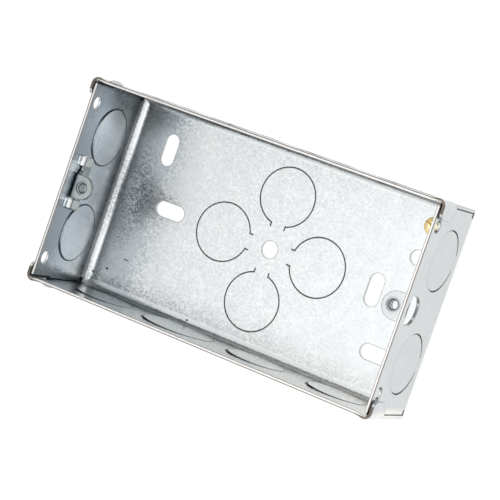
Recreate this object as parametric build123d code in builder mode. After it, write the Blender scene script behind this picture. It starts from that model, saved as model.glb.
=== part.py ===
from build123d import *

import os
from math import asin, degrees, pi, radians, sin, sqrt

# Two gang flush back box, folded from one sheet of galvanised steel, in mm.
# It lies on its back: the back face is on z = 0 and the open front faces +Z.
# The origin is the middle of the back face, and X runs along the box.

# Sheet and outside sizes
length = 132.0  # over the end walls
width = 72.0  # over the long walls
depth = 35.0  # back face to rim
sheet = 1.0
bend_inside = 2.8  # inside radius of the four bends round the base

# Corner seams, reliefs and the tabs that wrap round the end walls
seam_gap = 0.3
relief_radius = 1.1
relief_height = 3.4  # centre of the relief above the back face
relief_inset = 0.9  # centre of the relief from the inside of the long wall
tab_height = 11.0
tab_cover = 5.9  # how far a tab reaches along the end wall
tab_gap = 0.5  # between a tab and the end wall
tab_seam_gap = 0.7  # between the long wall and the edge of the end wall, beside a tab
tab_start = 4.8  # where a long wall starts to bow out, from the outside of the end wall
tab_bow_radius = 14.0
tab_bow_angle = 14.0
tab_top_round = 2.4
tab_lower_cut = 3.6

# Knockouts: a disc held by one neck, with a slit round the rest
slit = 0.3
knockout_radius = 10.3  # for 20 mm conduit
large_knockout_radius = 12.9  # for 25 mm conduit
neck_width = 5.2
neck_tail = 1.3
press = 0.55  # how far the discs in the walls are pushed inwards, opposite their necks
wall_knockout_height = 16.2
end_knockout_spacing = 35.0
long_knockout_pitch = 31.0
base_knockout_offset = 18.9  # from the middle of the base

# Holes and slots
centre_hole_radius = 3.05
slot_length = 11.6
slot_width = 5.4
inner_slot_x = 41.0
outer_slot_x = 49.0
outer_slot_y = 20.0
rim_hole_radius = 2.2
rim_hole_drop = 3.8  # centre of a rim hole below the rim
rim_hole_inset = 8.2  # from the outside of the long wall
spare_hole_radius = 2.6
spare_hole_inset = (14.4, 21.0)  # from the outside of the end wall and of the long wall

# Fixing lugs for the accessory screws
fixing_inset = 5.7  # tapped hole from the outside of its end wall, which gives 120.6 centres
lug_drop = 4.5  # top face of a lug below the rim
thread_radius = 1.45  # inside the M3.5 thread
thread_entry = 0.5
collar_radius = 2.3
collar_depth = 2.4
fixed_lug_width = 9.5
fixed_lug_reach = 9.6  # tip from the outside of the end wall
half_moon_depth = 8.7
bend_line_rise = 1.1  # the sheet of the fixed lug starts to bend this far above its top face

# Guide clips and the lug that slides behind them
clip_width = 3.2
clip_spacing = 15.2
clip_drop = 4.0  # top face of a clip below the rim
clip_stand = 2.8  # front face of a clip from the inside of the end wall
clip_leg = 4.3  # straight leg below the outer bend
clip_bend = 0.5  # inside radius of its bends
clip_end_round = 1.55
lug_sheet = 1.2
lug_back_gap = 0.4
lug_bend = 0.5
lug_tongue_width = 8.2
lug_reach = 8.4  # tip from the inside of the end wall
lug_plate_height = 6.6
wing_drop = 2.5  # top edge of a wing below the top of the lug
wing_reach = 8.7
wing_shoulder = 5.5  # where the wing is down to its own height
wing_round = 0.8
lug_rest_y = -1.2  # the lug stands this far off centre

# Earth screw and its collar
earth_inset = (11.7, 9.5)  # from the outside of the end wall and of the long wall
earth_collar_radius = 3.0
earth_collar_height = 1.8
screw_radius = 1.75
screw_clearance = 0.05
screw_end = 0.3  # bottom of the shank above the back face
head_radius = 3.1
head_height = 2.1
head_crown = 0.7  # height of the sloping part of the head
head_flat_radius = 1.6
screw_slot_width = 0.8
screw_slot_depth = 0.9
screw_slot_angle = -33.0

# Small pips pressed out of the long walls near the left end
pip_x = -60.5
pip_length = 5.6
pip_height = 1.6
pip_stand = 1.1
pip_drop = 3.6  # top of a pip below the rim

# Allowances of the cutting shapes
cutter = 3.0  # goes right through the sheet with room on both sides
neck_cover = 1.2  # length of a neck, which spans the slit and reaches under the disc

# Places worked out from the sizes above
half_length = length / 2
half_width = width / 2
end_inside = half_length - sheet
long_inside = half_width - sheet
fixing_x = half_length - fixing_inset
lug_top = depth - lug_drop
tab_bottom = depth - tab_height
earth_at = (half_length - earth_inset[0], half_width - earth_inset[1])
spare_hole_at = (half_length - spare_hole_inset[0], half_width - spare_hole_inset[1])


def end_plane(side):
    """Outside of an end wall, with local x along the wall and local y up."""
    return Plane(origin=(side * half_length, 0, 0), x_dir=(0, side, 0), z_dir=(side, 0, 0))


def long_plane(side):
    """Outside of a long wall, with local x along the wall and local y up."""
    return Plane(origin=(0, side * half_width, 0), x_dir=(-side, 0, 0), z_dir=(0, side, 0))


def round_ended(across, top, bottom, at=0.0):
    """Draw an upright opening with a square top and a round bottom."""
    radius = across / 2
    with Locations((at, (top + bottom + radius) / 2)):
        Rectangle(across, top - bottom - radius)
    with Locations((at, bottom + radius)):
        Circle(radius)


def knockout_slit(radius, tail=0.0):
    """Slit of a knockout whose neck is on its -X side, with a tail each side of the neck."""
    with BuildSketch() as ring:
        Circle(radius + slit / 2)
        Circle(radius - slit / 2, mode=Mode.SUBTRACT)
        with Locations((-radius, 0)):
            Rectangle(neck_cover, neck_width, mode=Mode.SUBTRACT)
        if tail > 0:
            ring_end = -sqrt(radius**2 - (neck_width / 2) ** 2)
            for side in (-1, 1):
                with Locations((ring_end - tail / 2 + slit / 2, side * (neck_width + slit) / 2)):
                    Rectangle(tail + slit, slit)
    return ring.sketch


def knockout_opening(radius):
    """Opening round a pressed disc, with the neck left standing on its -X side."""
    with BuildSketch() as opening:
        Circle(radius + slit / 2)
        with Locations((-radius, 0)):
            Rectangle(neck_cover, neck_width, mode=Mode.SUBTRACT)
    return opening.sketch


def tapped_collar(x, y, top, plate):
    """Add a drawn collar under a plate and open the tapped hole through both."""
    with Locations((x, y, top - plate)):
        Cylinder(collar_radius, collar_depth, align=(Align.CENTER, Align.CENTER, Align.MAX))
    with Locations((x, y, top)):
        Hole(thread_radius, depth=plate + collar_depth)


def thread_entry_edge(part):
    """Upper edge of the tapped hole, the narrowest level circle of a lug."""
    level_circles = part.edges().filter_by(GeomType.CIRCLE).filter_by(Plane.XY)
    return level_circles.group_by(SortBy.RADIUS)[0].sort_by(Axis.Z)[-1]


# Corner tab: the rim end of a long wall bows out, bends round the corner and lies on the end wall
tab_middle = half_length + tab_gap + sheet / 2
bow = radians(tab_bow_angle)
bow_end_x = half_length - tab_start + tab_bow_radius * sin(bow)
tab_bend = (tab_middle - bow_end_x) / (1 + sin(bow))
with BuildPart() as corner_tabs:
    with BuildSketch(Plane.XY.offset(tab_bottom)):
        with BuildLine():
            lead = JernArc(
                start=(half_length - tab_start, half_width - sheet / 2),
                tangent=(1, 0),
                radius=tab_bow_radius,
                arc_size=tab_bow_angle,
            )
            turn = JernArc(
                start=lead @ 1,
                tangent=lead % 1,
                radius=tab_bend,
                arc_size=-(90 + tab_bow_angle),
            )
            Line(turn @ 1, (tab_middle, half_width - tab_cover))
        trace(line_width=sheet)
    extrude(amount=tab_height)
    free_edges = corner_tabs.edges().filter_by(Axis.X).group_by(Axis.Y)[0].sort_by(Axis.Z)
    fillet(free_edges[-1], tab_top_round)
    lower_edge = corner_tabs.edges().filter_by(Axis.X).group_by(Axis.Y)[0].sort_by(Axis.Z)[0]
    chamfer(lower_edge, tab_lower_cut)
    mirror(about=Plane.XZ)
    mirror(about=Plane.YZ)

# What is cut away at each corner: seam, relief hole and the room for the tab's bend
with BuildPart() as corner_cuts:
    with Locations((half_length, long_inside, relief_height)):
        Box(cutter, seam_gap, depth, align=(Align.CENTER, Align.MAX, Align.MIN))
    with Locations((half_length, long_inside, tab_bottom)):
        Box(cutter, tab_seam_gap, depth, align=(Align.CENTER, Align.MAX, Align.MIN))
    with Locations((half_length, long_inside - relief_inset, relief_height)):
        Cylinder(relief_radius, cutter, rotation=(0, 90, 0))
    with Locations((half_length - tab_start, long_inside, tab_bottom)):
        Box(2 * tab_start, cutter, depth, align=(Align.MIN, Align.MIN, Align.MIN))
    mirror(about=Plane.XZ)
    mirror(about=Plane.YZ)

# Fixed lug: a tongue cut from the right end wall and bent inwards
bend_line = lug_top + bend_line_rise
fixed_lug_bend = bend_line - lug_top + sheet / 2
fixed_lug_tip = half_length - fixed_lug_reach
with BuildPart() as fixed_lug:
    with BuildSketch(Plane.XZ):
        with BuildLine():
            flat = Line(
                (fixed_lug_tip, lug_top - sheet / 2),
                (half_length - sheet / 2 - fixed_lug_bend, lug_top - sheet / 2),
            )
            JernArc(start=flat @ 1, tangent=(1, 0), radius=fixed_lug_bend, arc_size=90)
        trace(line_width=sheet)
    extrude(amount=fixed_lug_width / 2, both=True)
    with BuildSketch():
        with Locations((fixed_lug_tip + fixed_lug_width / 2, 0)):
            Circle(fixed_lug_width / 2)
            Rectangle(length, fixed_lug_width, align=(Align.MIN, Align.CENTER))
    extrude(amount=depth, mode=Mode.INTERSECT)
    tapped_collar(fixing_x, 0, lug_top, sheet)
    chamfer(thread_entry_edge(fixed_lug), thread_entry)

# Guide clips: two narrow tabs cut from the left end wall, bent in and then down
clip_top = depth - clip_drop
clip_radius = clip_bend + sheet / 2
clip_front = -end_inside + clip_stand
clip_end = clip_top - sheet / 2 - clip_radius - clip_leg
clip_cut_length = pi * clip_radius + clip_stand - 2 * clip_radius + clip_leg
with BuildPart() as guide_clips:
    for clip_y in (-clip_spacing / 2, clip_spacing / 2):
        with BuildSketch(Plane.XZ.offset(-clip_y)):
            with BuildLine():
                root = JernArc(
                    start=(-half_length + sheet / 2, clip_top - sheet / 2 + clip_radius),
                    tangent=(0, -1),
                    radius=clip_radius,
                    arc_size=90,
                )
                ledge = Line(root @ 1, (clip_front - sheet / 2 - clip_radius, clip_top - sheet / 2))
                nose = JernArc(start=ledge @ 1, tangent=(1, 0), radius=clip_radius, arc_size=-90)
                Line(nose @ 1, (clip_front - sheet / 2, clip_end))
            trace(line_width=sheet)
        extrude(amount=clip_width / 2, both=True)
    clip_end_edges = guide_clips.edges().filter_by(Axis.X).group_by(Axis.Z)[0]
    fillet(clip_end_edges, clip_end_round)

with BuildPart() as box_body:
    # Open pan with its base bends
    with BuildSketch():
        Rectangle(length, width)
    extrude(amount=depth)
    fillet(box_body.faces().sort_by(Axis.Z)[0].edges(), bend_inside + sheet)
    offset(amount=-sheet, openings=box_body.faces().sort_by(Axis.Z)[-1])

    # Corners
    add(corner_cuts.part, mode=Mode.SUBTRACT)
    add(corner_tabs.part)

    # Wall knockouts, each disc pushed a little inwards about its neck: the necks of those in the
    # end walls are at the base, and the necks of those in the long walls are on their +X side
    # An opening is cut two sheets deep, because the largest one reaches into the base bend
    for side in (-1, 1):
        disc_places = []
        for step in (-0.5, 0.5):
            at = step * end_knockout_spacing
            disc_places.append((end_plane(side), at, knockout_radius, 90))
        for step in (-1.5, -0.5, 0.5, 1.5):
            at = -side * step * long_knockout_pitch
            radius = large_knockout_radius if step == -0.5 else knockout_radius
            disc_places.append((long_plane(side), at, radius, 90 - side * 90))
        for plane, at, radius, neck_turn in disc_places:
            with BuildSketch(plane):
                with Locations((at, wall_knockout_height)):
                    add(knockout_opening(radius), rotation=neck_turn)
            extrude(amount=-2 * sheet, mode=Mode.SUBTRACT)
            neck = plane.location * Pos(at, wall_knockout_height) * Rot(0, 0, neck_turn) * Pos(-radius)
            tilt = degrees(asin(press / (2 * radius)))
            with BuildSketch(Plane(neck * Rot(0, tilt, 0))):
                with Locations((radius, 0)):
                    Circle(radius - slit / 2)
            extrude(amount=-sheet)

    # Base: four knockouts with their necks towards the centre hole, and the slots
    with BuildSketch():
        with PolarLocations(base_knockout_offset, 4):
            add(knockout_slit(knockout_radius, tail=neck_tail))
        Circle(centre_hole_radius)
        with Locations((-inner_slot_x, 0), (outer_slot_x, -outer_slot_y)):
            SlotOverall(slot_length, slot_width)
        with Locations((inner_slot_x, 0), (-outer_slot_x, outer_slot_y)):
            SlotOverall(slot_length, slot_width, rotation=90)
        with Locations(spare_hole_at):
            Circle(spare_hole_radius)
    extrude(amount=sheet, mode=Mode.SUBTRACT)

    # Rim holes, two in each end wall
    for side in (-1, 1):
        with BuildSketch(end_plane(side)):
            for edge_side in (-1, 1):
                with Locations((edge_side * (half_width - rim_hole_inset), depth - rim_hole_drop)):
                    Circle(rim_hole_radius)
        extrude(amount=-sheet, mode=Mode.SUBTRACT)

    # Half moon left by the fixed lug, and the lug itself
    with BuildSketch(end_plane(1)):
        round_ended(fixed_lug_width, bend_line, bend_line - half_moon_depth)
    extrude(amount=-sheet, mode=Mode.SUBTRACT)
    add(fixed_lug.part)

    # Windows left by the guide clips, and the clips
    clip_line = clip_top - sheet / 2 + clip_radius
    with BuildSketch(end_plane(-1)):
        for clip_y in (-clip_spacing / 2, clip_spacing / 2):
            round_ended(clip_width, clip_line, clip_line - clip_cut_length, at=clip_y)
    extrude(amount=-sheet, mode=Mode.SUBTRACT)
    add(guide_clips.part)

    # Pips on the long walls
    for side in (-1, 1):
        outer = [
            (pip_x - pip_length / 2, side * half_width),
            (pip_x, side * (half_width + pip_stand)),
            (pip_x + pip_length / 2, side * half_width),
        ]
        inner = [
            (pip_x - pip_length / 2 + sheet, side * long_inside),
            (pip_x, side * (long_inside + pip_stand)),
            (pip_x + pip_length / 2 - sheet, side * long_inside),
        ]
        for points, mode in ((outer, Mode.ADD), (inner, Mode.SUBTRACT)):
            with BuildSketch(Plane.XY.offset(depth - pip_drop - pip_height)):
                with BuildLine():
                    arc = ThreePointArc(*points)
                    Line(arc @ 1, arc @ 0)
                make_face()
            extrude(amount=pip_height, mode=mode)

    # Tapped collar for the earth screw
    with Locations((*earth_at, sheet)):
        Cylinder(
            earth_collar_radius,
            earth_collar_height,
            align=(Align.CENTER, Align.CENTER, Align.MIN),
        )
    with Locations((*earth_at, sheet + earth_collar_height)):
        Hole(screw_radius + screw_clearance, depth=sheet + earth_collar_height)
box_body.part.label = "box_body"

# Sliding lug: a tongue with a tapped hole, and a plate whose two wings lie behind the clips
lug_back = -end_inside + lug_back_gap
lug_tip = -end_inside + lug_reach
lug_bend_middle = lug_bend + lug_sheet / 2
lug_middle_x = lug_back + lug_sheet / 2
plate_bottom = lug_top - lug_plate_height
with BuildPart() as adjustable_lug:
    with BuildSketch(Plane.XZ.offset(-lug_rest_y)):
        with BuildLine():
            plate = Line(
                (lug_middle_x, plate_bottom),
                (lug_middle_x, lug_top - lug_sheet / 2 - lug_bend_middle),
            )
            knee = JernArc(start=plate @ 1, tangent=(0, 1), radius=lug_bend_middle, arc_size=-90)
            Line(knee @ 1, (lug_tip, lug_top - lug_sheet / 2))
        trace(line_width=lug_sheet)
    extrude(amount=lug_tongue_width / 2, both=True)
    with BuildSketch():
        with Locations((lug_tip - lug_tongue_width / 2, lug_rest_y)):
            Circle(lug_tongue_width / 2)
            Rectangle(length, lug_tongue_width, align=(Align.MAX, Align.CENTER))
    extrude(amount=depth, mode=Mode.INTERSECT)
    with BuildSketch(Plane.YZ.offset(lug_back)):
        with Locations((lug_rest_y, 0)):
            Polygon(
                (-wing_reach, plate_bottom),
                (wing_reach, plate_bottom),
                (wing_reach, lug_top - wing_drop),
                (wing_shoulder, lug_top - wing_drop),
                (lug_tongue_width / 2, lug_top - lug_sheet - lug_bend),
                (-lug_tongue_width / 2, lug_top - lug_sheet - lug_bend),
                (-wing_shoulder, lug_top - wing_drop),
                (-wing_reach, lug_top - wing_drop),
                align=None,
            )
    extrude(amount=lug_sheet)
    wing_ends = adjustable_lug.edges().filter_by(Axis.X).group_by(Axis.Y)
    fillet(wing_ends[0] + wing_ends[-1], wing_round)
    tapped_collar(-fixing_x, lug_rest_y, lug_top, lug_sheet)
    chamfer(thread_entry_edge(adjustable_lug), thread_entry)
adjustable_lug.part.label = "adjustable_lug"

# Earth screw: brass, with a low sloping head and one slot
head_bottom = sheet + earth_collar_height
head_top = head_bottom + head_height
with BuildPart() as earth_screw:
    with BuildSketch(Plane(origin=(*earth_at, 0), x_dir=(1, 0, 0), z_dir=(0, -1, 0))):
        with BuildLine():
            Polyline(
                (0, head_top),
                (0, screw_end),
                (screw_radius, screw_end),
                (screw_radius, head_bottom),
                (head_radius, head_bottom),
                (head_radius, head_top - head_crown),
                (head_flat_radius, head_top),
                close=True,
            )
        make_face()
    revolve(axis=Axis((*earth_at, 0), (0, 0, 1)))
    with Locations(Location((*earth_at, head_top), (0, 0, screw_slot_angle))):
        Box(2 * head_radius + cutter, screw_slot_width, 2 * screw_slot_depth, mode=Mode.SUBTRACT)
earth_screw.part.label = "earth_screw"

os.makedirs("parts", exist_ok=True)
export_step(box_body.part, "parts/box_body.step")
export_step(adjustable_lug.part, "parts/adjustable_lug.step")
export_step(earth_screw.part, "parts/earth_screw.step")
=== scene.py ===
from math import asin, cos, pi, radians, sin, sqrt

import bmesh
import bpy
from mathutils import Matrix, Vector


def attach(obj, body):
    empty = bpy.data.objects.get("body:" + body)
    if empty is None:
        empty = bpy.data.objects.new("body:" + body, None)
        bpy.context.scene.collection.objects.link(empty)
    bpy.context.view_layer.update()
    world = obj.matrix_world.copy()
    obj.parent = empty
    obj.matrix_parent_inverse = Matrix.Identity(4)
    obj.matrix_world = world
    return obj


# A two gang flush back box of galvanised steel, lying on its back with the open front up.
# The CAD model gives the shapes. This script gives the finishes, the threads, the light and
# the photograph's camera. Lengths are in metres, and MM turns millimetres into metres.
MM = 0.001

# Sizes and places of the CAD model that the dressing shares, in mm
SHEET = 1.0
HALF_LENGTH = 66.0
HALF_WIDTH = 36.0
BOX_DEPTH = 35.0
END_INSIDE = HALF_LENGTH - SHEET
LONG_INSIDE = HALF_WIDTH - SHEET
KNOCKOUT_RADIUS = 10.3
LARGE_KNOCKOUT_RADIUS = 12.9
LARGE_KNOCKOUT_X = -15.5
WALL_KNOCKOUT_HEIGHT = 16.2
END_KNOCKOUT_Y = 17.5
LONG_KNOCKOUT_PITCH = 31.0
BASE_KNOCKOUT_OFFSET = 18.9
NECK_WIDTH = 5.2
NECK_TAIL = 1.3
FIXED_LUG_HOLE = (60.3, 0, 0)
SLIDING_LUG_HOLE = (-60.3, -1.2, 0)
EARTH_SCREW_AXIS = (54.3, 26.5, 0)

# Height of the ring and thread that the finish adds to a lug's hole, in mm
HOLE_RELIEF = 0.25

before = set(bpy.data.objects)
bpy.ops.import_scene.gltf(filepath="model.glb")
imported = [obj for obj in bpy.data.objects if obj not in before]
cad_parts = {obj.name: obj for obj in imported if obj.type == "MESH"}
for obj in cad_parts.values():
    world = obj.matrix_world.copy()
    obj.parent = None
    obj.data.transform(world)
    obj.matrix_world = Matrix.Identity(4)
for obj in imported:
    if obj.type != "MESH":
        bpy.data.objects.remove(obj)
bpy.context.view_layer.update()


# Colours and shader nodes

def colour(hex_code):
    """Linear colour of an sRGB hex value."""
    channels = [int(hex_code[at:at + 2], 16) / 255 for at in (1, 3, 5)]
    linear = [c / 12.92 if c <= 0.04045 else ((c + 0.055) / 1.055) ** 2.4 for c in channels]
    return (*linear, 1.0)


def add_node(tree, kind, inputs=None, stops=(), **settings):
    """Add a shader node, set its properties and the (position, sRGB hex) stops of a colour
    ramp, and set or link its inputs."""
    node = tree.nodes.new(kind)
    for name, value in settings.items():
        setattr(node, name, value)
    for index, (position, hex_code) in enumerate(stops):
        elements = node.color_ramp.elements
        element = elements[index] if index < 2 else elements.new(position)
        element.position, element.color = position, colour(hex_code)
    for key, value in (inputs or {}).items():
        if isinstance(value, bpy.types.NodeSocket):
            tree.links.new(value, node.inputs[key])
        else:
            node.inputs[key].default_value = value
    return node


def new_material(name):
    """Empty material with an output node."""
    material = bpy.data.materials.new(name)
    material.use_nodes = True
    material.node_tree.nodes.clear()
    output = add_node(material.node_tree, "ShaderNodeOutputMaterial")
    return material, material.node_tree, output


def per_metre(size_mm):
    """Texture scale at which one cell or wave is this many millimetres."""
    return 1 / (size_mm * MM)


# What the steel finishes share

def rolled_edges(tree, radius_mm, flat, rounded, share):
    """Normal that rolls over at each sharp edge, and how bare the steel is there: nothing where
    its cosine to the face is flat, and the full share where that is down to rounded."""
    rolled = add_node(tree, "ShaderNodeBevel", {"Radius": radius_mm * MM}, samples=6)
    face = add_node(tree, "ShaderNodeNewGeometry")
    cosine = add_node(tree, "ShaderNodeVectorMath", {
        0: rolled.outputs["Normal"], 1: face.outputs["Normal"]}, operation="DOT_PRODUCT")
    bare = add_node(tree, "ShaderNodeMapRange", {
        "Value": cosine.outputs["Value"], "From Min": flat, "From Max": rounded, "To Max": share})
    return rolled.outputs["Normal"], bare.outputs["Result"]


def lug_hole(tree, place, middle):
    """Height of the raised ring round a lug's tapped hole and of the M3.5 thread in it, 0.6 mm
    from turn to turn, as a share of HOLE_RELIEF."""
    hole_radius, ring_reach, turn_to_turn = 1.48, 4.0, 0.6
    offset = add_node(tree, "ShaderNodeVectorMath", {
        0: place, 1: [m * MM for m in middle]}, operation="SUBTRACT")
    flat = add_node(tree, "ShaderNodeVectorMath", {
        0: offset.outputs["Vector"], 1: (1, 1, 0)}, operation="MULTIPLY")
    radius = add_node(tree, "ShaderNodeVectorMath", {
        0: flat.outputs["Vector"]}, operation="LENGTH")
    outwards = add_node(tree, "ShaderNodeMapRange", {
        "Value": radius.outputs["Value"], "From Max": ring_reach * MM})
    ring = add_node(tree, "ShaderNodeValToRGB", {"Fac": outwards.outputs["Result"]}, stops=(
        (0.37, "#808080"), (0.43, "#ffffff"), (0.50, "#ffffff"), (0.62, "#000000")))
    in_hole = add_node(tree, "ShaderNodeMath", {
        0: radius.outputs["Value"], 1: hole_radius * MM}, operation="LESS_THAN")
    axes = add_node(tree, "ShaderNodeSeparateXYZ", {"Vector": place})
    angle = add_node(tree, "ShaderNodeMath", {
        0: axes.outputs["Z"], 1: 2 * pi / (turn_to_turn * MM)}, operation="MULTIPLY")
    turns = add_node(tree, "ShaderNodeMath", {0: angle.outputs["Value"]}, operation="SINE")
    return add_node(tree, "ShaderNodeMath", {
        0: in_hole.outputs["Value"], 1: turns.outputs["Value"], 2: ring.outputs["Color"]},
        operation="MULTIPLY_ADD").outputs["Value"]


# Parts of the galvanised finish. Heights and distances come as sockets, in metres

def past_wall(tree, across, inside):
    """Distance past the inside of the two walls that stand across an axis."""
    either_side = add_node(tree, "ShaderNodeMath", {0: across}, operation="ABSOLUTE")
    return add_node(tree, "ShaderNodeMath", {
        0: either_side.outputs["Value"], 1: inside * MM}, operation="SUBTRACT").outputs["Value"]


def rim_colour(tree, from_end, from_side):
    """Colour of the sheared edge: bright where the punch cut it and torn on its outside, with a
    line of painted shade along its inside. The tabs' edges are torn right over."""
    two_sheets = 2 * SHEET
    across = add_node(tree, "ShaderNodeMath", {0: from_end, 1: from_side}, operation="MAXIMUM")
    over_edge = add_node(tree, "ShaderNodeMapRange", {
        "Value": across.outputs["Value"], "From Min": 0.0, "From Max": two_sheets * MM})
    # The darker first stop is painted shade along the inside of the rim
    return add_node(tree, "ShaderNodeValToRGB", {"Fac": over_edge.outputs["Result"]}, stops=(
        (0.0, "#9c9a97"), (0.12, "#dedcd9"), (0.32, "#d8d5d1"), (0.40, "#7d7a75"),
        (0.56, "#6c655c"))).outputs["Color"]


def painted_fold_shade(tree, height, from_end):
    """Painted shade on the end walls' inside: a darker band above the bend."""
    up_wall = add_node(tree, "ShaderNodeMapRange", {"Value": height, "From Max": BOX_DEPTH * MM})
    # Painted shade: darker from about 2 to 10 mm up the end walls
    fold = add_node(tree, "ShaderNodeValToRGB", {"Fac": up_wall.outputs["Result"]}, stops=(
        (0.03, "#ffffff"), (0.06, "#ffffff"), (0.10, "#9a9da2"), (0.17, "#8f939a"),
        (0.28, "#ffffff")))
    # From the inside of the wall to 2.8 mm in front of it, which takes in the bend
    end_inside = add_node(tree, "ShaderNodeMath", {
        0: from_end, 1: -1.35 * MM, 2: 1.45 * MM}, operation="COMPARE")
    return add_node(tree, "ShaderNodeMix", {
        "Factor": end_inside.outputs["Value"], "A": colour("#ffffff"), "B": fold.outputs["Color"]},
        data_type="RGBA").outputs["Result"]


def painted_light_and_scuffs(tree, place, crystal, zinc):
    """The zinc with painted light and shade, and four scuffs. Painted light makes the -X wall
    lighter and bluer, a painted highlight lies along its bend, and painted light brightens the +X
    end of the -Y wall. Painted shade darkens the -X wall's corner by the +Y wall, the -X end of
    the -Y wall and the base beside the -X fold. It is greyer beside the fold at the fixed lug, and
    the last four are scuffs."""
    # Middle and half widths in mm, share, patchiness and colour. Patchy means crystal by crystal
    # All but the last four are painted light and shade, or a greyer patch at the fixed lug
    for middle, reach, share, patchiness, hex_code in (
            ((-65, 0, 22), (1, 80, 18), 1.0, 0.3, "#e2ebf5"),
            ((-64, 0, 1.6), (2.4, 70, 1.8), 1.0, 0.2, "#f2f5f7"),
            ((-65, 36, 12), (1.4, 20, 20), 0.9, 0.2, "#30363b"),
            ((-66, -35, 16), (40, 3, 30), 0.7, 0.4, "#3c4248"),
            ((60, 0, 30), (9, 8, 3), 0.35, 0.3, "#8c8f90"),
            ((50, -35, 16), (75, 3, 30), 1.0, 0.4, "#fbf8f2"),
            ((-52, 5, 1), (24, 45, 6), 0.17, 0.6, "#3c4248"),
            ((-58, 1, 1), (10, 32, 6), 0.7, 0.8, "#2c3238"),
            ((-57.5, -27, 1), (0.8, 0.5, 2), 1.2, 0.2, "#26282a"),
            ((-62.5, -29.7, 1), (0.7, 0.5, 2), 1.2, 0.2, "#26282a"),
            ((-51.4, -21.7, 1), (1.6, 0.4, 2), 0.9, 0.2, "#26282a"),
            ((-20.9, -33.2, 1), (0.8, 0.4, 2), 1.2, 0.2, "#26282a")):
        offset = add_node(tree, "ShaderNodeVectorMath", {
            0: place, 1: [1 / (r * MM) for r in reach],
            2: [-m / r for m, r in zip(middle, reach)]}, operation="MULTIPLY_ADD")
        distance = add_node(tree, "ShaderNodeVectorMath", {
            0: offset.outputs["Vector"]}, operation="LENGTH")
        spot = add_node(tree, "ShaderNodeMapRange", {
            "Value": distance.outputs["Value"], "From Min": 0.3, "From Max": 1.0,
            "To Min": share, "To Max": 0.0}, interpolation_type="SMOOTHSTEP")
        patchy = add_node(tree, "ShaderNodeMapRange", {
            "Value": crystal, "To Min": 1 - patchiness, "To Max": 1.0})
        amount = add_node(tree, "ShaderNodeMath", {
            0: spot.outputs["Result"], 1: patchy.outputs["Result"]}, operation="MULTIPLY")
        zinc = add_node(tree, "ShaderNodeMix", {
            "Factor": amount.outputs["Value"], "A": zinc, "B": colour(hex_code)},
            data_type="RGBA").outputs["Result"]
    return zinc


def shade_round_discs(tree, axes, from_side, zinc):
    """The zinc with painted shade near the rim of the wall with the sliding lug. The two discs
    there lean up to the light and stay bright, and so do the seam's end and the sheet behind the
    lug."""
    along = add_node(tree, "ShaderNodeMath", {
        0: from_side, 1: (LONG_INSIDE - END_KNOCKOUT_Y) * MM}, operation="ADD")
    up = add_node(tree, "ShaderNodeMath", {
        0: axes.outputs["Z"], 1: WALL_KNOCKOUT_HEIGHT * MM}, operation="SUBTRACT")
    from_disc = add_node(tree, "ShaderNodeCombineXYZ", {
        "Y": along.outputs["Value"], "Z": up.outputs["Value"]})
    distance = add_node(tree, "ShaderNodeVectorMath", {
        0: from_disc.outputs["Vector"]}, operation="LENGTH")
    off_disc = add_node(tree, "ShaderNodeMath", {
        0: distance.outputs["Value"], 1: KNOCKOUT_RADIUS * MM}, operation="GREATER_THAN")
    left_inside = add_node(tree, "ShaderNodeMath", {
        0: axes.outputs["X"], 1: -END_INSIDE * MM, 2: 0.1 * MM}, operation="COMPARE")
    clear_of_seam = add_node(tree, "ShaderNodeMapRange", {
        "Value": axes.outputs["Y"], "From Min": -34 * MM, "From Max": -24 * MM})
    near_rim = add_node(tree, "ShaderNodeMapRange", {
        "Value": axes.outputs["Z"], "From Min": 16 * MM, "From Max": 28 * MM})
    clear_of_lug = add_node(tree, "ShaderNodeMath", {
        0: from_side, 1: (7.0 - LONG_INSIDE) * MM}, operation="GREATER_THAN")
    shaded_share = off_disc.outputs["Value"]
    for share in (left_inside.outputs["Value"], clear_of_seam.outputs["Result"],
                  near_rim.outputs["Result"], clear_of_lug.outputs["Value"]):
        shaded_share = add_node(tree, "ShaderNodeMath", {
            0: shaded_share, 1: share}, operation="MULTIPLY").outputs["Value"]
    # Painted shade: the wall multiplied by a light grey there
    return add_node(tree, "ShaderNodeMix", {
        "Factor": shaded_share, "A": zinc, "B": colour("#c4c8cc")},
        data_type="RGBA", blend_type="MULTIPLY").outputs["Result"]


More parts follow.
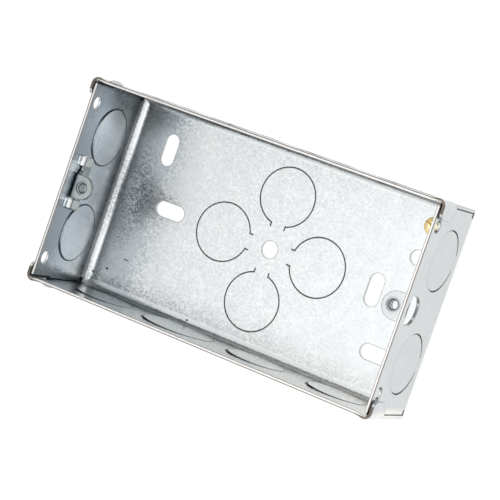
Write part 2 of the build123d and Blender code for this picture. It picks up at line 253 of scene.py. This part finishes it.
def painted_slit_shade(tree, axes, from_side):
    """Where a dark line of painted shade, 1.1 mm wide, runs round the rim side of each knockout in
    the long walls. They stand at one pitch, and one of them is larger."""
    half_line, lowest = 0.55, 15.0
    half_pitch = LONG_KNOCKOUT_PITCH / 2
    along_wall = add_node(tree, "ShaderNodeMath", {
        0: axes.outputs["X"], 1: 0.0, 2: LONG_KNOCKOUT_PITCH * MM}, operation="WRAP")
    along = add_node(tree, "ShaderNodeMath", {
        0: along_wall.outputs["Value"], 1: half_pitch * MM}, operation="SUBTRACT")
    up = add_node(tree, "ShaderNodeMath", {
        0: axes.outputs["Z"], 1: WALL_KNOCKOUT_HEIGHT * MM}, operation="SUBTRACT")
    from_middle = add_node(tree, "ShaderNodeCombineXYZ", {
        "X": along.outputs["Value"], "Z": up.outputs["Value"]})
    distance = add_node(tree, "ShaderNodeVectorMath", {
        0: from_middle.outputs["Vector"]}, operation="LENGTH")
    at_large = add_node(tree, "ShaderNodeMath", {
        0: axes.outputs["X"], 1: LARGE_KNOCKOUT_X * MM, 2: half_pitch * MM}, operation="COMPARE")
    radius = add_node(tree, "ShaderNodeMath", {
        0: at_large.outputs["Value"], 1: (LARGE_KNOCKOUT_RADIUS - KNOCKOUT_RADIUS) * MM,
        2: KNOCKOUT_RADIUS * MM}, operation="MULTIPLY_ADD")
    from_slit = add_node(tree, "ShaderNodeMath", {
        0: distance.outputs["Value"], 1: radius.outputs["Value"]}, operation="SUBTRACT")
    on_slit = add_node(tree, "ShaderNodeMath", {
        0: from_slit.outputs["Value"], 1: 0.0, 2: half_line * MM}, operation="COMPARE")
    rim_half = add_node(tree, "ShaderNodeMath", {
        0: axes.outputs["Z"], 1: lowest * MM}, operation="GREATER_THAN")
    # From just behind the inside of the wall to 1.5 mm in front of it, where the discs are
    long_inside = add_node(tree, "ShaderNodeMath", {
        0: from_side, 1: -0.7 * MM, 2: 0.8 * MM}, operation="COMPARE")
    # The line is painted shade along the slit
    line = add_node(tree, "ShaderNodeMath", {
        0: on_slit.outputs["Value"], 1: rim_half.outputs["Value"]}, operation="MULTIPLY")
    return add_node(tree, "ShaderNodeMath", {
        0: line.outputs["Value"], 1: long_inside.outputs["Value"]},
        operation="MULTIPLY").outputs["Value"]


def bowed_base(tree, axes, from_end, normal):
    """Normal of the base where it bows beside a fold: it leans up to 3 degrees towards the end
    wall."""
    three_degrees = 0.05
    beside = add_node(tree, "ShaderNodeMapRange", {
        "Value": from_end, "From Min": -20 * MM, "From Max": -5 * MM, "To Max": three_degrees},
        interpolation_type="SMOOTHSTEP")
    on_base = add_node(tree, "ShaderNodeMath", {
        0: axes.outputs["Z"], 1: SHEET * MM, 2: 0.15 * MM}, operation="COMPARE")
    lean = add_node(tree, "ShaderNodeMath", {
        0: beside.outputs["Result"], 1: on_base.outputs["Value"]}, operation="MULTIPLY")
    which_end = add_node(tree, "ShaderNodeMath", {0: axes.outputs["X"]}, operation="SIGN")
    outwards = add_node(tree, "ShaderNodeMath", {
        0: lean.outputs["Value"], 1: which_end.outputs["Value"]}, operation="MULTIPLY")
    lean_x = add_node(tree, "ShaderNodeCombineXYZ", {"X": outwards.outputs["Value"]})
    bowed = add_node(tree, "ShaderNodeVectorMath", {
        0: normal, 1: lean_x.outputs["Vector"]}, operation="ADD")
    return add_node(tree, "ShaderNodeVectorMath", {
        0: bowed.outputs["Vector"]}, operation="NORMALIZE").outputs["Vector"]


# Materials

def galvanised_steel():
    """Mill galvanised sheet: a bright zinc skin over cold rolled steel. Small crystals, each
    tilted its own way, make a soft satin mirror sparkle, and the sheared edges are duller."""
    material, tree, output = new_material("galvanised_steel")
    place = add_node(tree, "ShaderNodeTexCoord").outputs["Object"]
    axes = add_node(tree, "ShaderNodeSeparateXYZ", {"Vector": place})
    from_end = past_wall(tree, axes.outputs["X"], END_INSIDE)
    from_side = past_wall(tree, axes.outputs["Y"], LONG_INSIDE)
    # Every sheared edge is rolled over by the punch, to a radius of about 0.4 mm
    rolled, bare = rolled_edges(tree, 0.4, 0.995, 0.87, 0.8)

    # Cloud: patches about 8 mm wide where the zinc is thinner and duller
    cloud = add_node(tree, "ShaderNodeTexNoise", {
        "Vector": place, "Scale": per_metre(8), "Detail": 5, "Roughness": 0.65})
    # Spangle: crystals 0.6 mm wide, each of its own brightness and tilt
    spangle = add_node(tree, "ShaderNodeTexVoronoi", {
        "Vector": place, "Scale": per_metre(0.6), "Randomness": 1.0})
    crystal = add_node(tree, "ShaderNodeSeparateColor", {"Color": spangle.outputs["Color"]})
    # Grain of the rolls: streaks along the sheet, 0.4 mm wide and 3 mm long
    along = add_node(tree, "ShaderNodeVectorMath", {
        0: place, 1: (0.13, 1.0, 1.0)}, operation="MULTIPLY")
    grain = add_node(tree, "ShaderNodeTexNoise", {
        "Vector": along.outputs["Vector"], "Scale": per_metre(0.4), "Detail": 2,
        "Roughness": 0.6})

    # Colour: the skin with painted shade above the end folds, then painted light and shade with
    # four scuffs, painted shade near the rim of the -X wall, the rim, and the bare edges with
    # painted dark lines round the knockouts
    tone = add_node(tree, "ShaderNodeMapRange", {
        "Value": cloud.outputs["Fac"], "From Min": 0.3, "From Max": 0.7})
    skin = add_node(tree, "ShaderNodeMix", {
        "Factor": tone.outputs["Result"], "A": colour("#cdd1d2"), "B": colour("#d4d7d7")},
        data_type="RGBA")
    # Painted shade above the end folds
    fold_shaded = add_node(tree, "ShaderNodeMix", {
        "Factor": 1.0, "A": skin.outputs["Result"],
        "B": painted_fold_shade(tree, axes.outputs["Z"], from_end)},
        data_type="RGBA", blend_type="MULTIPLY")
    # Painted light and shade on the walls, bend and base, and four scuffs
    lit_and_scuffed = painted_light_and_scuffs(tree, place, crystal.outputs["Red"], fold_shaded.outputs["Result"])
    # Painted shade near the rim of the -X wall
    walled = shade_round_discs(tree, axes, from_side, lit_and_scuffed)
    at_rim = add_node(tree, "ShaderNodeMath", {
        0: axes.outputs["Z"], 1: (BOX_DEPTH - 0.1) * MM}, operation="GREATER_THAN")
    rimmed = add_node(tree, "ShaderNodeMix", {
        "Factor": at_rim.outputs["Value"], "A": walled,
        "B": rim_colour(tree, from_end, from_side)}, data_type="RGBA")
    # Bare sheared edges, and painted shade in dark lines round the knockouts of the long walls
    bare_or_painted_shade = add_node(tree, "ShaderNodeMath", {
        0: painted_slit_shade(tree, axes, from_side), 1: bare}, operation="MAXIMUM")
    base = add_node(tree, "ShaderNodeMix", {
        "Factor": bare_or_painted_shade.outputs["Value"], "A": rimmed.outputs["Result"], "B": colour("#4d5053")},
        data_type="RGBA")

    cloud_rough = add_node(tree, "ShaderNodeMapRange", {
        "Value": cloud.outputs["Fac"], "From Min": 0.3, "From Max": 0.7,
        "To Min": 0.23, "To Max": 0.20})
    rough = add_node(tree, "ShaderNodeMath", {
        0: crystal.outputs["Blue"], 1: 0.05, 2: cloud_rough.outputs["Result"]},
        operation="MULTIPLY_ADD")

    # Each crystal tilts the surface, up to about 2 degrees either way on each axis
    centred = add_node(tree, "ShaderNodeVectorMath", {
        0: spangle.outputs["Color"], 1: (0.5, 0.5, 0.5)}, operation="SUBTRACT")
    tilted = add_node(tree, "ShaderNodeVectorMath", {
        0: centred.outputs["Vector"], 1: (0.08, 0.08, 0.08), 2: rolled},
        operation="MULTIPLY_ADD")
    streaked = add_node(tree, "ShaderNodeBump", {
        "Height": grain.outputs["Fac"], "Strength": 0.6, "Distance": 0.04 * MM,
        "Normal": bowed_base(tree, axes, from_end, tilted.outputs["Vector"])})
    tapped = add_node(tree, "ShaderNodeBump", {
        "Height": lug_hole(tree, place, FIXED_LUG_HOLE), "Normal": streaked.outputs["Normal"],
        "Strength": 1.0, "Distance": HOLE_RELIEF * MM})
    shader = add_node(tree, "ShaderNodeBsdfPrincipled", {
        "Base Color": base.outputs["Result"], "Metallic": 1.0,
        "Roughness": rough.outputs["Value"], "Normal": tapped.outputs["Normal"]})
    tree.links.new(shader.outputs["BSDF"], output.inputs["Surface"])
    return material


def zinc_plated_steel():
    """Thicker steel with a thin plated zinc coat: smoother and greyer than the box, with rolled
    edges that are dark where the coat is gone, and the thread of an M3.5 screw in its hole."""
    material, tree, output = new_material("zinc_plated_steel")
    place = add_node(tree, "ShaderNodeTexCoord").outputs["Object"]
    rolled, bare = rolled_edges(tree, 0.5, 0.985, 0.88, 0.95)
    # Cloud: patches about 4 mm wide, where the bath plated more or less
    cloud = add_node(tree, "ShaderNodeTexNoise", {
        "Vector": place, "Scale": per_metre(4), "Detail": 4, "Roughness": 0.6})
    tone = add_node(tree, "ShaderNodeMix", {
        "Factor": cloud.outputs["Fac"], "A": colour("#7e8488"), "B": colour("#c6cac9")},
        data_type="RGBA")
    rough = add_node(tree, "ShaderNodeMapRange", {
        "Value": cloud.outputs["Fac"], "From Min": 0.3, "From Max": 0.7,
        "To Min": 0.30, "To Max": 0.18})
    worn = add_node(tree, "ShaderNodeMix", {
        "Factor": bare, "A": tone.outputs["Result"], "B": colour("#2f3133")},
        data_type="RGBA")
    tapped = add_node(tree, "ShaderNodeBump", {
        "Height": lug_hole(tree, place, SLIDING_LUG_HOLE), "Normal": rolled,
        "Strength": 1.0, "Distance": HOLE_RELIEF * MM})
    shader = add_node(tree, "ShaderNodeBsdfPrincipled", {
        "Base Color": worn.outputs["Result"], "Metallic": 1.0,
        "Roughness": rough.outputs["Result"], "Normal": tapped.outputs["Normal"]})
    tree.links.new(shader.outputs["BSDF"], output.inputs["Surface"])
    return material


def turned_brass():
    """Brass bar turned on a lathe: a warm mirror with rings from the tool, 0.2 mm apart, and
    painted shade, dark brown, down in the slot and under the head."""
    material, tree, output = new_material("turned_brass")
    place = add_node(tree, "ShaderNodeTexCoord").outputs["Object"]
    axes = add_node(tree, "ShaderNodeSeparateXYZ", {"Vector": place})
    # The head stands from 2.8 to 4.9 mm above the back, and its slot is 0.9 mm deep
    depth_down = add_node(tree, "ShaderNodeMapRange", {
        "Value": axes.outputs["Z"], "From Min": 3.2 * MM, "From Max": 4.9 * MM})
    # Painted shade: the brass darker lower down the head and in its slot
    brass_shaded_by_height = add_node(tree, "ShaderNodeValToRGB", {"Fac": depth_down.outputs["Result"]}, stops=(
        (0.0, "#4a3016"), (0.40, "#a8803c"), (0.58, "#f0d28e"), (1.0, "#fbe6b4")))
    from_axis = add_node(tree, "ShaderNodeVectorMath", {
        0: place, 1: [m * MM for m in EARTH_SCREW_AXIS]}, operation="SUBTRACT")
    # Blender's wave texture has 20 / (2 pi) waves in each unit of its scale
    rings = add_node(tree, "ShaderNodeTexWave", {
        "Vector": from_axis.outputs["Vector"], "Scale": per_metre(0.2) / 20 * 2 * pi},
        wave_type="RINGS", rings_direction="Z")
    rolled = add_node(tree, "ShaderNodeBevel", {"Radius": 0.2 * MM}, samples=6)
    turned = add_node(tree, "ShaderNodeBump", {
        "Height": rings.outputs["Fac"], "Normal": rolled.outputs["Normal"],
        "Strength": 0.25, "Distance": 0.01 * MM})
    shader = add_node(tree, "ShaderNodeBsdfPrincipled", {
        "Base Color": brass_shaded_by_height.outputs["Color"], "Metallic": 1.0, "Roughness": 0.18,
        "Normal": turned.outputs["Normal"]})
    tree.links.new(shader.outputs["BSDF"], output.inputs["Surface"])
    return material


def torn_steel_and_shade():
    """Bare steel torn by the punch inside the slit of a knockout, and painted shade in the corner
    seams: dark, matt and rough, with a grit about 0.1 mm coarse."""
    material, tree, output = new_material("torn_steel_and_shade")
    place = add_node(tree, "ShaderNodeTexCoord").outputs["Object"]
    grit = add_node(tree, "ShaderNodeTexNoise", {
        "Vector": place, "Scale": per_metre(0.1), "Detail": 2, "Roughness": 0.6})
    # Dark: torn steel in the slits, and painted shade in the corner seams
    tone = add_node(tree, "ShaderNodeValToRGB", {"Fac": grit.outputs["Fac"]}, stops=(
        (0.35, "#3e4042"), (0.65, "#606265")))
    rough_grain = add_node(tree, "ShaderNodeBump", {
        "Height": grit.outputs["Fac"], "Strength": 0.5, "Distance": 0.05 * MM})
    shader = add_node(tree, "ShaderNodeBsdfPrincipled", {
        "Base Color": tone.outputs["Color"], "Metallic": 1.0, "Roughness": 0.6,
        "Normal": rough_grain.outputs["Normal"]})
    tree.links.new(shader.outputs["BSDF"], output.inputs["Surface"])
    return material


def studio_white():
    """White table: a glowing white to the camera and in reflections, which still takes the
    box's shadow, and plain white card to the light that reaches the box."""
    material, tree, output = new_material("studio_white")
    card = add_node(tree, "ShaderNodeBsdfDiffuse", {"Color": colour("#f4f4f4")})
    faint = add_node(tree, "ShaderNodeBsdfDiffuse", {"Color": colour("#7a7a7a")})
    glow = add_node(tree, "ShaderNodeEmission", {"Color": colour("#ffffff"), "Strength": 0.87})
    both = add_node(tree, "ShaderNodeAddShader", {
        0: faint.outputs["BSDF"], 1: glow.outputs["Emission"]})
    rays = add_node(tree, "ShaderNodeLightPath")
    seen = add_node(tree, "ShaderNodeMath", {
        0: rays.outputs["Is Camera Ray"], 1: rays.outputs["Is Glossy Ray"]}, operation="MAXIMUM")
    mirrored = add_node(tree, "ShaderNodeMath", {
        0: seen.outputs["Value"], 1: rays.outputs["Is Transmission Ray"]}, operation="MAXIMUM")
    shown = add_node(tree, "ShaderNodeMixShader", {
        "Fac": mirrored.outputs["Value"], 1: card.outputs["BSDF"], 2: both.outputs["Shader"]})
    tree.links.new(shown.outputs["Shader"], output.inputs["Surface"])
    return material


finishes = {
    "box_body": galvanised_steel(),
    "adjustable_lug": zinc_plated_steel(),
    "earth_screw": turned_brass(),
}
for name, material in finishes.items():
    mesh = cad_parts[name].data
    mesh.materials.clear()
    mesh.materials.append(material)


# Torn metal in the slits of the knockouts, and dark strips of painted shade in the corner seams

def slit_strip(mesh, place, radius, tail):
    """Add the strip that closes one slit, a ring with a gap for the neck on its -X side and
    a tail each side of that neck. The place matrix sets it in its wall."""
    half_slit, steps = 0.15, 96
    neck_end = asin((NECK_WIDTH / 2) / radius)
    ring = []
    for step in range(steps + 1):
        turn = -pi + neck_end + (2 * pi - 2 * neck_end) * step / steps
        ring.append([
            mesh.verts.new(place @ Vector((r * MM * cos(turn), r * MM * sin(turn), 0)))
            for r in (radius - half_slit, radius + half_slit)])
    for (in_a, out_a), (in_b, out_b) in zip(ring, ring[1:]):
        mesh.faces.new((in_a, out_a, out_b, in_b))
    if tail > 0:
        ring_end = -sqrt(radius ** 2 - (NECK_WIDTH / 2) ** 2)
        for side in (-1, 1):
            low_y, high_y = side * NECK_WIDTH / 2, side * (NECK_WIDTH / 2 + 2 * half_slit)
            corners = [(ring_end - tail, low_y), (ring_end + half_slit, low_y),
                       (ring_end + half_slit, high_y), (ring_end - tail, high_y)]
            mesh.faces.new([
                mesh.verts.new(place @ Vector((x * MM, y * MM, 0))) for x, y in corners])


def base_strips(mesh):
    """Strips in the four knockouts of the base, in the middle of the sheet."""
    out = Matrix.Translation((BASE_KNOCKOUT_OFFSET * MM, 0, SHEET / 2 * MM))
    for turn in (0, 90, 180, 270):
        slit_strip(mesh, Matrix.Rotation(radians(turn), 4, "Z") @ out, KNOCKOUT_RADIUS, NECK_TAIL)


def wall_strips(mesh):
    """Strips in the knockouts of the walls, 0.75 mm under their outside, where each disc still
    is although it is pushed inwards."""
    under = 0.75
    for side in (-1, 1):
        for y in (-END_KNOCKOUT_Y, END_KNOCKOUT_Y):
            at = (side * (HALF_LENGTH - under) * MM, y * MM, WALL_KNOCKOUT_HEIGHT * MM)
            upright = Matrix.Rotation(radians(-90), 4, "Y")
            slit_strip(mesh, Matrix.Translation(at) @ upright, KNOCKOUT_RADIUS, 0)
        for step in (-1.5, -0.5, 0.5, 1.5):
            x = step * LONG_KNOCKOUT_PITCH
            at = (x * MM, side * (HALF_WIDTH - under) * MM, WALL_KNOCKOUT_HEIGHT * MM)
            upright = Matrix.Rotation(radians(90), 4, "X") @ Matrix.Rotation(radians(180), 4, "Z")
            radius = LARGE_KNOCKOUT_RADIUS if x == LARGE_KNOCKOUT_X else KNOCKOUT_RADIUS
            slit_strip(mesh, Matrix.Translation(at) @ upright, radius, 0)


def seam_shade_strips(mesh):
    """Dark strips of painted shade in the corner seams and in the reliefs at their feet, which are
    open gaps seen dark in the real box.
    """
    seam_x = HALF_LENGTH - 0.4
    relief_foot, seam_foot, seam_head = 2.2, 4.6, BOX_DEPTH - 0.5
    relief_edge, seam_edge, long_wall = LONG_INSIDE - 2.0, LONG_INSIDE - 0.75, LONG_INSIDE + 0.1
    for end in (-1, 1):
        for side in (-1, 1):
            for low_y, low_z, high_z in (
                    (relief_edge, relief_foot, seam_foot), (seam_edge, seam_foot, seam_head)):
                # Each strip is painted shade: a dark sheet where the seam is an open gap
                mesh.faces.new([
                    mesh.verts.new((end * seam_x * MM, side * y * MM, z * MM))
                    for y, z in ((low_y, low_z), (long_wall, low_z),
                                 (long_wall, high_z), (low_y, high_z))])


def torn_metal_and_seam_shade():
    """Close every slit with torn metal, and every corner seam with a dark strip of painted shade:
    the slits in the real sheet are too fine to see through."""
    mesh = bmesh.new()
    base_strips(mesh)
    wall_strips(mesh)
    seam_shade_strips(mesh)
    data = bpy.data.meshes.new("torn_metal_and_seam_shade")
    mesh.to_mesh(data)
    mesh.free()
    data.materials.append(torn_steel_and_shade())
    piece = bpy.data.objects.new("torn_metal_and_seam_shade", data)
    bpy.context.collection.objects.link(piece)
    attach(piece, "box")


torn_metal_and_seam_shade()


# Floor, light and camera

def make_floor():
    """Large plain floor under the box."""
    reach = 3.0
    mesh = bpy.data.meshes.new("floor")
    just_under = -0.05 * MM
    corners = [(-reach, -reach), (reach, -reach), (reach, reach), (-reach, reach)]
    mesh.from_pydata([(x, y, just_under) for x, y in corners], [], [(0, 1, 2, 3)])
    floor = bpy.data.objects.new("floor", mesh)
    bpy.context.collection.objects.link(floor)
    mesh.materials.append(studio_white())


def softbox(name, at, size, power):
    """Rectangular area lamp that faces the middle of the box."""
    data = bpy.data.lights.new(name, "AREA")
    data.shape = "RECTANGLE"
    data.size, data.size_y = size
    data.energy = power
    lamp = bpy.data.objects.new(name, data)
    lamp.location = at
    lamp.rotation_euler = (-Vector(at)).to_track_quat("-Z", "Y").to_euler()
    bpy.context.collection.objects.link(lamp)


def studio_world():
    """White tent overhead, with a darker room low down all round."""
    world = bpy.data.worlds.new("studio")
    world.use_nodes = True
    tree = world.node_tree
    tree.nodes.clear()
    toward = add_node(tree, "ShaderNodeTexCoord").outputs["Generated"]
    axes = add_node(tree, "ShaderNodeSeparateXYZ", {"Vector": toward})
    strength = add_node(tree, "ShaderNodeMapRange", {
        "Value": axes.outputs["Z"], "From Min": 0.12, "From Max": 0.40,
        "To Min": 0.12, "To Max": 1.08})
    around = add_node(tree, "ShaderNodeBackground", {
        "Color": colour("#ffffff"), "Strength": strength.outputs["Result"]})
    add_node(tree, "ShaderNodeOutputWorld", {"Surface": around.outputs["Background"]})
    bpy.context.scene.world = world


def photo_camera():
    """Camera placed by fitting the box's corners to the photograph."""
    data = bpy.data.cameras.new("photo_camera")
    data.lens = 142.170
    data.sensor_width = 36.0
    data.sensor_fit = "HORIZONTAL"
    data.clip_start = 0.01
    camera = bpy.data.objects.new("photo_camera", data)
    right = Vector((0.84343525, 0.32741625, -0.42592909))
    up = Vector((-0.32592996, 0.94210485, 0.07879157))
    back = right.cross(up)
    camera.matrix_world = Matrix((
        (right.x, up.x, back.x, 281.870 * MM),
        (right.y, up.y, back.y, 46.367 * MM),
        (right.z, up.z, back.z, 610.458 * MM),
        (0, 0, 0, 1)))
    bpy.context.collection.objects.link(camera)
    bpy.context.scene.camera = camera


make_floor()
studio_world()
softbox("overhead", (-0.02, -0.05, 1.1), (0.9, 1.3), 1.8)
photo_camera()
bpy.context.scene.view_settings.view_transform = "Standard"
